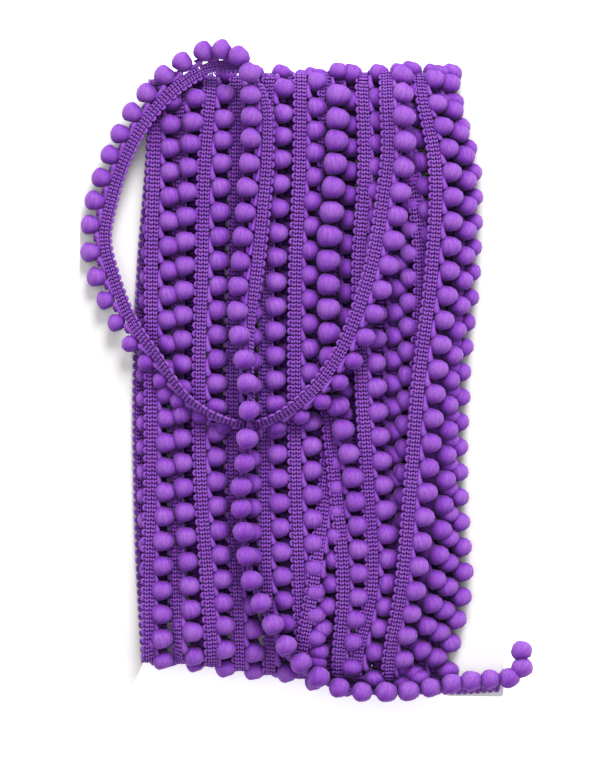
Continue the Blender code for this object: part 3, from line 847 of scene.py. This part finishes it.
def pompom_distances():
    """Where every pompom is along the winding: set on the front, evened out on the back. With each
    goes its turn's number, or on the back -1 less the number of the turn that comes next."""
    step = row_distances[-1] / (len(wound_run) - 1)
    places, front_of = [], []
    start = 0
    for number, (turn, count) in enumerate(zip(TURNS, row_counts)):
        top, bottom = row_distances[start], row_distances[start + len(FRONT_Y) - 1]
        low, high = round(top / step), round(bottom / step)
        heights = wound_line[low:high, 1]
        anchor = top + step * np.interp(-turn.pompom_y * MM, -heights, np.arange(len(heights)))
        pitch = turn.pitch * MM
        before = int((anchor - top + PAST_TOP) / pitch)
        after = int((bottom - anchor + PAST_BOTTOM) / pitch)
        front = anchor + pitch * np.arange(-before, after + 1)
        if places:
            gap = front[0] - places[-1]
            spaces = round(gap / BACK_PITCH)
            between = places[-1] + gap * np.arange(1, spaces) / spaces
            places += list(between)
            front_of += [-1 - number] * len(between)
        places += list(front)
        front_of += [number] * len(front)
        start += count
    gap = row_distances[-1] - places[-1]
    spaces = round(gap / BACK_PITCH)
    places += list(places[-1] + gap * np.arange(1, spaces + 1) / spaces)
    front_of += [-1 - len(TURNS)] * spaces
    return np.array(places), np.array(front_of)


wound_at, wound_turn = pompom_distances()
# The spacing reaches back past the trim's own start: no pompom is threaded there.
threaded = wound_at > 0.0
wound_at, wound_turn = wound_at[threaded], wound_turn[threaded]
wound_stretch = np.gradient(wound_at) / PITCH


def stitches_of(number):
    """Which stitches a length of the winding shows: hidden turns have plainer ones."""
    if number >= 0:
        return TURNS[number].stitches
    before = -number - 2  # the turn that this run up the back follows
    return "full" if TURNS[before].back == "outer" else "plain"


full_stitches = stitch_repeat("full_stitches", "full")
plain_stitches = stitch_repeat("plain_stitches", "plain")
stitch_kinds = np.array([stitches_of(number) for number in wound_turn])
on_front = wound_turn >= 0
left_of_centre = wound_turn >= FIRST_ON_LEFT
heading_groups = {
    "heading_front_left": (on_front & left_of_centre, "full", full_stitches),
    "heading_front_right": (on_front & ~left_of_centre, "full", full_stitches),
    "heading_back": (~on_front, "full", full_stitches),
    "heading_under": (on_front, "plain", plain_stitches),
    "heading_back_under": (~on_front, "plain", plain_stitches),
}
for seed, (name, (chosen, kind, stitches)) in enumerate(heading_groups.items()):
    chosen = chosen & (stitch_kinds == kind)
    marks = marks_along(name + "_marks", wound_at[chosen], {"stretch": wound_stretch[chosen]})
    heading = grow(name, band_tree, marks, {
        "Path": wound_path, "Stitches": stitches, "Hinge": HINGE, "Reach": REACH,
        "Lowest": LOWEST, "Seed": 20 + seed, "Yarn": band_yarn})
    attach(heading, "root")
    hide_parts("winding")


# ---- the wound turns' pompoms ----
# The same tied balls of soft yarn along the wound trim. They are evenly spaced, lie in the
# hollows beside the bands, and are pressed smaller in the layers that other turns cover.
BACK_FULLNESS = 0.92
PRESSED_BELOW = 0.9  # pompoms less full than this are in a covered layer,
NOTCH_PRESS = 0.3  # and lose up to this share of their size
NOTCH_NEARS = 20.0 * MM  # over this length, as their turn nears a notch

wound_steps = np.linspace(0, row_distances[-1], len(wound_run))
wound_y = np.interp(wound_at, wound_steps, wound_line[:, 1])
heights_y = np.array(HEIGHTS_Y) * MM
near_notch = np.clip((abs(wound_y) - heights_y[-1]) / NOTCH_NEARS, 0, 1)
wound_sizes = np.array([np.interp(y, heights_y, TURNS[n].fullness[::-1]) if n >= 0
                        else BACK_FULLNESS for n, y in zip(wound_turn, wound_y)])
wound_sizes = wound_sizes * (1 - NOTCH_PRESS * near_notch * (wound_sizes < PRESSED_BELOW))
for seed, (name, chosen) in enumerate({"wound_pompoms_front": on_front,
                                       "wound_pompoms_back": ~on_front}.items()):
    marks = marks_along(name + "_marks", wound_at[chosen], {"size": wound_sizes[chosen]})
    pompoms = grow(name, pompom_tree, marks, {
        "Path": wound_path, "Kinds": pompom_kinds, "Number of kinds": POMPOM_KINDS,
        "Tumble": 0.25, "Lowest": LOWEST, "Seed": 40 + 5 * seed, "Yarn": pompom_yarn})
    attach(pompoms, "root")
    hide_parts("winding")

for used in (loose_path, wound_path, fine_stitches, full_stitches, plain_stitches,
             *pompom_kinds.objects):
    bpy.data.objects.remove(used)
bpy.data.collections.remove(pompom_kinds)


# ---- the card ----
# A stiff white board, cut from one sheet and notched at both ends to hold the turns. Its shape
# stays as the frame has it. What the trim covers closely gets little light, and is painted dark.
BOARD_LIT = (0.90, 0.885, 0.875, 1.0)
BOARD_DULL = (0.86, 0.85, 0.84, 1.0)
# The dark violet of the painted shadow where the trim lies close.
BOARD_PAINTED_SHADOW = (0.03, 0.012, 0.05, 1.0)
PAINTED_SHADOW_REACH = 5.0 * MM  # how near the trim has to be to cast painted shadow on the board


def white_board():
    material = bpy.data.materials.new("white_board")
    material.use_nodes = True
    net = Net(material.node_tree)
    shader = material.node_tree.nodes["Principled BSDF"]
    place = net.node("ShaderNodeTexCoord", out="Object")
    pulp = net.node("ShaderNodeTexNoise", {}, {
        "Vector": place, "Scale": 900.0, "Detail": 3.0, "Roughness": 0.6}, "Fac")
    cloud = net.node("ShaderNodeTexNoise", {}, {
        "Vector": place, "Scale": 25.0, "Detail": 2.0, "Roughness": 0.5}, "Fac")
    colour = net.node("ShaderNodeMix", {"data_type": "RGBA"}, {
        "Factor": cloud * 0.5 + pulp * 0.3, "A": BOARD_LIT, "B": BOARD_DULL})
    open_sky = net.node("ShaderNodeAmbientOcclusion", {"samples": 8}, {"Distance": PAINTED_SHADOW_REACH},
                        "AO")
    # Painted shadow: the board goes dark violet where the trim lies close over it.
    painted_shadow_mix = net.node("ShaderNodeMix", {"data_type": "RGBA"}, {
        "Factor": open_sky * 2.0 - 0.22, "A": BOARD_PAINTED_SHADOW, "B": colour})
    net.tree.links.new(painted_shadow_mix.socket, shader.inputs["Base Color"])
    raised = net.node("ShaderNodeBump", {}, {
        "Strength": 0.2, "Distance": 0.03 * MM, "Height": pulp}, "Normal")
    net.tree.links.new(raised.socket, shader.inputs["Normal"])
    shader.inputs["Roughness"].default_value = 0.6
    shader.inputs["Specular IOR Level"].default_value = 0.3
    return material


card = frame["nodes"]["card"]
card.data.materials.clear()
card.data.materials.append(white_board())


# ---- floor and light ----
# A plain white floor under soft light: a large lamp leans over the top of the card, and a wider,
# weaker one overhead fills the shadows.
floor = plain_mesh("floor", [(-3, -3, 0), (3, -3, 0), (3, 3, 0), (-3, 3, 0)],
                   faces=[(0, 1, 2, 3)])
floor_paint = bpy.data.materials.new("floor_white")
floor_paint.use_nodes = True
floor_shader = floor_paint.node_tree.nodes["Principled BSDF"]
floor_shader.inputs["Base Color"].default_value = (0.92, 0.92, 0.92, 1.0)
floor_shader.inputs["Roughness"].default_value = 0.9
floor_shader.inputs["Emission Color"].default_value = (1.0, 1.0, 1.0, 1.0)
floor_shader.inputs["Emission Strength"].default_value = 0.5
floor.data.materials.append(floor_paint)


def lamp(name, place, size, power):
    data = bpy.data.lights.new(name, "AREA")
    data.shape = "DISK"
    data.size = size
    data.energy = power
    made = bpy.data.objects.new(name, data)
    made.location = place
    made.rotation_euler = Vector(place).to_track_quat("Z", "Y").to_euler()
    scene.collection.objects.link(made)


lamp("key", (0.35, 1.5, 1.35), 1.0, 42.0)
lamp("fill", (-0.3, 0.1, 1.9), 1.4, 11.0)
world = bpy.data.worlds.new("studio")
world.use_nodes = True
world.node_tree.nodes["Background"].inputs["Color"].default_value = (1.0, 1.0, 1.0, 1.0)
world.node_tree.nodes["Background"].inputs["Strength"].default_value = 0.4
scene.world = world
scene.view_settings.view_transform = "Standard"
